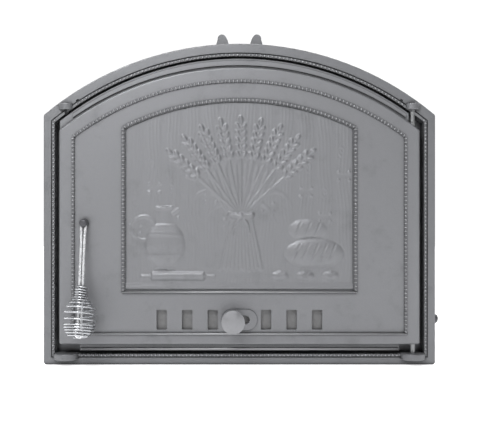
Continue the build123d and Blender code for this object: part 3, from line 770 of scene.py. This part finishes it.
def tie(x, z):
    """The twisted straw band, its knot and two ends."""
    across = x - tie_place[0]
    rise = z - tie_place[1] - tie_sag * across**2
    twist = twist_height * np.sin(2 * pi * (across + twist_slant * rise) / twist_pitch)
    band = ridge(rise, tie_half_width, tie_height) + twist * (np.abs(rise) < twist_reach)
    band = band * round_edge(tie_half_length - np.abs(across), tie_end_run)
    share = oval(x, z, tie_place, tie_knot_half_width, tie_knot_half_height)
    knot = tie_knot_height * np.clip(1 - share**2, 0, 1) ** tie_knot_edge_power
    height = np.maximum(band, knot)
    for tail in tie_tails:
        distance, share = along_curve(x, z, curve_points(*tail))
        height = np.maximum(height, ridge(distance, tail_half_width - tail_narrowing * share, tail_height))
    return height


# Ears, by distances from the tie along each stem. Tilts and spreads are in degrees.
ear_angles = [(-48 + 12 * i) * pi / 180 for i in range(9)]
ear_rows = 6
ear_room_below = 12
ear_room_above = 72
ear_room_beside = 26
stem_start = 6
stem_into_ear = 44
stem_half_width = 1.5
stem_height = 3.7
grain_step = 8.6
grain_offset = 3.9
grain_tilt = 24
grain_half_width = 2.9
grain_half_length = 5.3
grain_edge_height = 1.2
grain_swell = 3.4
keel_half_width = 0.6
keel_height = 0.35
awn_root = 5
awn_length = 17
awn_spread = 9
awn_spread_step = 2.5
awn_half_width = 0.95
awn_narrowing = 0.35
awn_height = 2.4
awn_fall = 0.5


def ear(across, along):
    """One ear: rows of two grains with a keel and an awn each, and a single grain at its top."""
    height = np.zeros(across.shape)
    for row in range(ear_rows):
        sides = (-1, 1) if row < ear_rows - 1 else (0,)
        for side in sides:
            centre = (side * grain_offset, ear_start + row * grain_step)
            tilt = side * grain_tilt * pi / 180
            grain_across, grain_along = turned(across, along, centre, tilt)
            share = np.hypot(grain_across / grain_half_width, grain_along / grain_half_length)
            grain = grain_edge_height + grain_swell * np.sqrt(np.clip(1 - share**2, 0, 1))
            grain = grain + keel_height * np.exp(-((grain_across / keel_half_width) ** 2))
            height = np.maximum(height, np.where(share < 1, grain, 0))
            tip = (centre[0] + awn_root * sin(tilt), centre[1] + awn_root * cos(tilt))
            lean = side * (awn_spread + awn_spread_step * row) * pi / 180
            end = (tip[0] + awn_length * sin(lean), tip[1] + awn_length * cos(lean))
            distance, share = to_segment(across, along, tip, end)
            awn = ridge(distance, awn_half_width - awn_narrowing * share, awn_height - awn_fall * share)
            height = np.maximum(height, awn)
    return height


def ears(x, z):
    """All the ears of the sheaf, on their stems."""
    height = np.zeros(x.shape)
    for lean in ear_angles:
        across, along = turned(x, z, tie_place, lean)
        stem = ridge(across, stem_half_width, stem_height)
        stem = stem * (along > stem_start) * (along < ear_start + stem_into_ear)
        height = np.maximum(height, stem)
        near = (along > ear_start - ear_room_below) & (along < ear_start + ear_room_above)
        near = near & (np.abs(across) < ear_room_beside)
        height[near] = np.maximum(height[near], ear(across[near], along[near]))
    return height


# Leaves of the sheaf. The first two of each shape are its bend and its tip, the last its half width.
leaf_root = (9, 190)
leaf_shapes = (((46, 236), (62, 196), 3.6), ((30, 214), (44, 172), 3.2))
leaf_points = 14
leaf_root_share = 0.12
leaf_width_power = 0.7
leaf_tip_half_width = 0.3
leaf_height = 2.9
vein_half_width = 0.6
vein_depth = 0.5


def leaves(x, z):
    """Long leaves that arch out of the sheaf and droop."""
    height = np.zeros(x.shape)
    for side in (-1, 1):
        for bend, tip, half_width in leaf_shapes:
            chain = [(tie_place[0] + side * place[0], place[1]) for place in (leaf_root, bend, tip)]
            distance, share = along_curve(x, z, curve_points(*chain, leaf_points))
            grown = np.sin(pi * (leaf_root_share + (1 - leaf_root_share) * share)) ** leaf_width_power
            width = half_width * grown + leaf_tip_half_width
            blade = ridge(distance, width, leaf_height) - groove(distance, vein_half_width, vein_depth)
            height = np.maximum(height, blade)
    return height


def softened(height):
    """The same heights with the sharpest steps rounded, as moulding sand leaves them."""
    for axis in (0, 1):
        before = np.roll(height, 1, axis)
        after = np.roll(height, -1, axis)
        smooth = 0.25 * before + 0.5 * height + 0.25 * after
        keep = [slice(None), slice(None)]
        keep[axis] = slice(1, -1)
        height[tuple(keep)] = smooth[tuple(keep)]
    return height


bun_places = (50, 81, 112)
small_loaf = {
    "centre": (84.2, 167),
    "half_width": 27,
    "half_height": 15.4,
    "height": 5,
    "slashes": (-12, 0, 12),
}
large_loaf = {
    "centre": (92, 138),
    "half_width": 39,
    "half_height": 20.4,
    "height": 6.2,
    "slashes": (-22, -11, 0, 11, 22),
}
large_loaf_edge = 1.5


def relief_heights(x, z):
    """All the forms of the picture, with the large loaf before the others."""
    forms = [boards(x, z), table(x, z), leaves(x, z), stalks(x, z), ears(x, z), tie(x, z), jug(x, z)]
    forms.append(loaf(x, z, **small_loaf))
    forms.append(rolling_pin(x, z))
    forms += [bun(x, z, centre_x) for centre_x in bun_places]
    large = loaf(x, z, **large_loaf)
    height = np.maximum.reduce(forms)
    return np.where(large > large_loaf_edge, large, np.maximum(height, large))


relief_columns = 342
relief_rows = 250
relief_root = 0.5
relief_back = picture_floor / MM + relief_root
relief_middle_z = 200


def relief_piece():
    """The relief as a closed sheet that fills the picture's recess."""
    columns = relief_columns
    rows = relief_rows
    x = np.linspace(-1, 1, columns)[None, :] * np.ones((rows, 1)) * picture.half_width / MM
    top = picture.centre / MM + np.sqrt((picture.radius / MM) ** 2 - x**2)
    z = picture.foot / MM + np.linspace(0, 1, rows)[:, None] * (top - picture.foot / MM)
    height = softened(relief_heights(x, z))
    y = picture_floor / MM - height
    grid = np.stack([x, y, z], axis=-1).reshape(-1, 3) * MM
    index = np.arange(rows * columns).reshape(rows, columns)
    faces = np.stack([index[:-1, :-1], index[:-1, 1:], index[1:, 1:], index[1:, :-1]], axis=-1).reshape(-1, 4)
    rim = np.concatenate([index[0, :], index[1:, -1], index[-1, -2::-1], index[-2:0:-1, 0]])
    back = grid[rim].copy()
    back[:, 1] = relief_back * MM
    first_back = len(grid)
    middle = first_back + len(rim)
    vertices = np.concatenate([grid, back, [[0, relief_back * MM, relief_middle_z * MM]]])
    face_list = [tuple(face) for face in faces.tolist()]
    for i in range(len(rim)):
        j = (i + 1) % len(rim)
        face_list.append((int(rim[j]), int(rim[i]), first_back + i, first_back + j))
        face_list.append((first_back + j, first_back + i, middle))
    return mesh_object("picture_relief", vertices.tolist(), face_list)


# Skin of the leaf, in metres
flat_margin = 0.05 * MM
form_reach = 4 * MM


def leaf_face():
    """The leaf casting with low beds for its beads, and without the picture's plain forms."""
    source = nodes["leaf_casting"]
    mesh = source.data.copy()
    piece = bpy.data.objects.new("leaf_face", mesh)
    bpy.context.collection.objects.link(piece)
    form = bmesh.new()
    form.from_mesh(mesh)
    for vertex in form.verts:
        if abs(vertex.co.y - (leaf_front - bead_core)) < flat_margin:
            vertex.co.y = leaf_front - bead_bed
    front_limit = leaf_front - form_reach
    gone = []
    for face in form.faces:
        middle = face.calc_center_median()
        inside_width = abs(middle.x) < picture.half_width - flat_margin
        above_foot = middle.z > picture.foot + flat_margin
        inside_arch = hypot(middle.x, middle.z - picture.centre) < picture.radius - flat_margin
        inside_depth = front_limit < middle.y < picture_floor + flat_margin
        if inside_width and above_foot and inside_arch and inside_depth:
            gone.append(face)
    bmesh.ops.delete(form, geom=gone, context="FACES")
    form.to_mesh(mesh)
    form.free()
    return piece


leaf_skin = leaf_face()
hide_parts("leaf_casting")
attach(leaf_skin, "leaf")
finish_piece(relief_piece(), "leaf", "cast_iron")


# Ridges along the foot of the leaf, the band on its rim and the flared roots of the anchor horns


def prism(name, outline, place, front, back):
    """A closed slab between two depths, from an outline round a place."""
    count = len(outline)
    vertices = []
    for depth in (front, back):
        vertices += [(place[0] + x, depth, place[1] + z) for x, z in outline]
    faces = [tuple(range(count)), tuple(reversed(range(count, 2 * count)))]
    for i in range(count):
        j = (i + 1) % count
        faces.append((j, i, count + i, count + j))
    return mesh_object(name, vertices, faces, smooth=False)


rim_front = border_front
roll_sides = 8
rim_roll_half_run = 196 * MM
rim_roll_z = 19.9 * MM
rim_roll_radius = 1.9 * MM
foot_ridge_height = 2.4 * MM


def foot_roll(name, half_run, z, front, half_width, height):
    """A half-round ridge along a foot."""
    vertices = []
    for x in (-half_run, half_run):
        for side in range(roll_sides + 1):
            turn = pi * side / roll_sides
            vertices.append((x, front - height * sin(turn), z - half_width * cos(turn)))
    ring = roll_sides + 1
    faces = [tuple(range(ring)), tuple(reversed(range(ring, 2 * ring)))]
    for side in range(ring):
        after = (side + 1) % ring
        faces.append((after, side, ring + side, ring + after))
    return mesh_object(name, vertices, faces)


rim_roll = foot_roll("rim_roll", rim_roll_half_run, rim_roll_z, rim_front, rim_roll_radius, rim_roll_radius)
finish_piece(rim_roll, "leaf", "cast_iron", "bead_iron_lit")
for name, moulding in (("outer_foot_ridge", outer_beads), ("picture_foot_ridge", picture_beads)):
    foot_run = moulding.half_width + bead_width / 2
    foot_ridge = foot_roll(name, foot_run, moulding.foot, leaf_front, bead_width / 2, foot_ridge_height)
    finish_piece(foot_ridge, "leaf", "cast_iron", "bead_iron_lit")

band_top = Arch(222, 17.8, 354.7, lip_centre)
band_foot = Arch(222, 26, 360.7, leaf_centre)
band_half_run = 206 * MM
band_height = 1.6 * MM
band_root = 0.3 * MM


def rim_band_outline(steps=60):
    """The band between the groove beside the leaf's plate and the round edge of its rim."""
    run = [band_half_run * (2 * i / steps - 1) for i in range(steps + 1)]
    lower = [(x, band_foot.height_at(x)) for x in run]
    upper = [(x, band_top.height_at(x)) for x in reversed(run)]
    return lower + upper


rim_band = prism("rim_band", rim_band_outline(), (0, 0), rim_front - band_height, rim_front + band_root)
finish_piece(rim_band, "leaf", "cast_iron")

horn_x = 21.6 * MM
horn_middle_z = 390 * MM
horn_half_width = 9.3 * MM
horn_half_height = 25.4 * MM
horn_foot_drop = 4 * MM
horn_front = 26.3 * MM
horn_back = 33.7 * MM


def horn_outline(points=20):
    """The upper half of an oval over a short upright foot."""
    outline = [(-horn_half_width, -horn_foot_drop), (horn_half_width, -horn_foot_drop)]
    for i in range(points + 1):
        turn = pi * i / points
        outline.append((horn_half_width * cos(turn), horn_half_height * sin(turn)))
    return outline


for side, name in ((-1, "horn_root_left"), (1, "horn_root_right")):
    horn_root = prism(name, horn_outline(), (side * horn_x, horn_middle_z), horn_front, horn_back)
    finish_piece(horn_root, "frame", "cast_iron", "frame_iron")

# Web of the damper that closes the end of the knob's slot while the vents are shut
web_start = 11.2 * MM
web_end = 13.6 * MM
web_half_height = 12.4 * MM
web_front = -5.65 * MM
web_back = -2.75 * MM
vent_z = 56.5 * MM
web_outline = [
    (web_start, -web_half_height),
    (web_end, -web_half_height),
    (web_end, web_half_height),
    (web_start, web_half_height),
]
finish_piece(prism("damper_web", web_outline, (0, vent_z), web_front, web_back), "damper", "damper_steel")


# Wound wire of the grip. Lengths along the handle and across it are in millimetres, from the
# middle of the spindle's head.
handle_place = Vector((-190.5, -18.3, 175.7))
handle_lean = 11.5 * pi / 180
handle_across = Vector((1, 0, 0))
handle_out = Vector((0, -cos(handle_lean), sin(handle_lean)))
handle_down = Vector((0, -sin(handle_lean), -cos(handle_lean)))
grip_start = 78
grip_length = 60
grip_neck = 9
grip_belly = 15
grip_end = 15
grip_first_radius = 4.7
grip_small_radius = 6.4
grip_large_radius = 18.1
grip_last_radius = 7.1
grip_close_pitch = 3.1
grip_open_pitch = 7.6
grip_wire_radius = 1.15
turn_points = 12
wire_sides = 10


def grip_radius(run):
    """Radius of the winding at a distance from its upper end: a neck, a belly and a round end."""
    belly_start = grip_length - grip_end - grip_belly
    if run < grip_neck:
        return grip_small_radius
    if run < belly_start:
        rise = (run - grip_neck) / (belly_start - grip_neck)
        return grip_small_radius + (grip_large_radius - grip_small_radius) * rise**2 * (3 - 2 * rise)
    if run < belly_start + grip_belly:
        return grip_large_radius
    fall = min(1, (run - belly_start - grip_belly) / grip_end)
    return grip_last_radius + (grip_large_radius - grip_last_radius) * sqrt(1 - fall**2)


def grip_pitch(run):
    """Rise of one turn: close at the neck and towards the end, open at the belly."""
    if run > grip_length - grip_end:
        return grip_close_pitch
    fullness = (grip_radius(run) - grip_small_radius) / (grip_large_radius - grip_small_radius)
    return grip_close_pitch + (grip_open_pitch - grip_close_pitch) * max(0, fullness) ** 2


def winding():
    """Points along the wire: half turns that pass in front from upper left to lower right."""
    points = []
    run = 0
    side = -1
    here = (side * grip_first_radius, grip_start)
    while run < grip_length:
        run = run + grip_pitch(run) / 2
        there = (-side * grip_radius(run), grip_start + run)
        half = abs(here[0] - there[0]) / 2
        for i in range(turn_points):
            turn = pi * i / turn_points
            x = here[0] + (there[0] - here[0]) * (1 - cos(turn)) / 2
            down = here[1] + (there[1] - here[1]) * i / turn_points
            bulge = handle_out * side * half * sin(turn)
            points.append(handle_place + handle_across * x - bulge + handle_down * down)
        here = there
        side = -side
    return points


def round_wire(name, points, radius):
    """A smooth round tube along a chain of points, closed at both ends."""
    vertices = []
    for i, point in enumerate(points):
        tangent = (points[min(i + 1, len(points) - 1)] - points[max(i - 1, 0)]).normalized()
        outward = tangent.cross(handle_down).normalized()
        upward = outward.cross(tangent)
        for side in range(wire_sides):
            turn = 2 * pi * side / wire_sides
            vertices.append((point + (outward * cos(turn) + upward * sin(turn)) * radius) * MM)
    faces = []
    for i in range(len(points) - 1):
        for side in range(wire_sides):
            after = (side + 1) % wire_sides
            a = i * wire_sides
            b = a + wire_sides
            faces.append((a + after, a + side, b + side, b + after))
    last = (len(points) - 1) * wire_sides
    faces.append(tuple(range(wire_sides)))
    faces.append(tuple(reversed(range(last, last + wire_sides))))
    return mesh_object(name, vertices, faces)


grip_wire = round_wire("grip_wire", winding(), grip_wire_radius)
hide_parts("handle_grip")
finish_piece(grip_wire, "latch", "chrome_wire", "wound_wire_shaded")


# Floor, light and camera


floor_cloud_size = 0.4
floor_cloud_gain = 1.02


def plain_material(name, colour, roughness, glow):
    """A dull material with a faint unevenness and a glow of its own, for the floor."""
    material, shader = new_material(name)
    lighter = [min(1, c * floor_cloud_gain) for c in colour]
    two_tone(material, shader, noise(material, floor_cloud_size), colour, lighter)
    shader.inputs["Roughness"].default_value = roughness
    shader.inputs["Emission Color"].default_value = (1, 1, 1, 1)
    shader.inputs["Emission Strength"].default_value = glow
    return material


floor_half = 3
floor_tone = (0.9, 0.9, 0.9)
floor_roughness = 0.9
floor_glow = 0.6
floor_corners = [(x * floor_half, y * floor_half, 0) for x, y in ((-1, -1), (1, -1), (1, 1), (-1, 1))]
floor = mesh_object("floor", floor_corners, [(0, 1, 2, 3)], smooth=False)
floor.data.materials.append(plain_material("pale_floor", floor_tone, floor_roughness, floor_glow))

bpy.context.scene.view_settings.view_transform = "Standard"
world = bpy.data.worlds.new("studio")
world.use_nodes = True
bpy.context.scene.world = world
behind_strength = 1.05
front_strength = 0.3
full_behind = 0.35
background = world.node_tree.nodes["Background"]
background.inputs["Color"].default_value = (1, 1, 1, 1)
direction = node(world, "ShaderNodeTexCoord")
split = node(world, "ShaderNodeSeparateXYZ")
link(world, direction.outputs["Generated"], split.inputs["Vector"])
wall_span = {"From Min": 0, "From Max": full_behind, "To Min": front_strength, "To Max": behind_strength}
wall_light = node(world, "ShaderNodeMapRange", wall_span)
link(world, split.outputs["Y"], wall_light.inputs["Value"])
link(world, wall_light.outputs["Result"], background.inputs["Strength"])


def soft_light(name, place, aim, width, height, power):
    """A rectangular soft light aimed at a point."""
    lamp = bpy.data.lights.new(name, "AREA")
    lamp.shape = "RECTANGLE"
    lamp.size = width
    lamp.size_y = height
    lamp.energy = power
    light = bpy.data.objects.new(name, lamp)
    light.location = place
    light.rotation_euler = (Vector(aim) - Vector(place)).to_track_quat("-Z", "Y").to_euler()
    bpy.context.collection.objects.link(light)


soft_light("key_light", (-0.36, -0.7, 0.88), aim=(-0.08, 0, 0.26), width=0.5, height=0.3, power=8.2)
soft_light("fill_light", (0.9, -1.3, 0.5), aim=(0, 0, 0.2), width=1, height=1, power=1)
soft_light("front_floor_light", (0, -1.6, 2.2), aim=(0, -1.2, 0), width=2.5, height=2.5, power=21)
soft_light("back_floor_light", (0, 2.2, 2.2), aim=(0, 1.8, 0), width=4, height=3, power=110)

camera_distance = 1.0
camera_height = 0.195
image_width = 500
image_height = 421
door_axis_px = 239.4
camera_height_py = 207.2
focal_px = 808
sensor_width = 36
camera_data = bpy.data.cameras.new("camera")
camera_data.sensor_fit = "HORIZONTAL"
camera_data.sensor_width = sensor_width
camera_data.lens = focal_px / image_width * sensor_width
camera_data.shift_x = (image_width / 2 - door_axis_px) / image_width
camera_data.shift_y = -(image_height / 2 - camera_height_py) / image_width
camera = bpy.data.objects.new("camera", camera_data)
camera.location = (0, border_front - camera_distance, camera_height)
camera.rotation_euler = (pi / 2, 0, 0)
bpy.context.collection.objects.link(camera)
bpy.context.scene.camera = camera
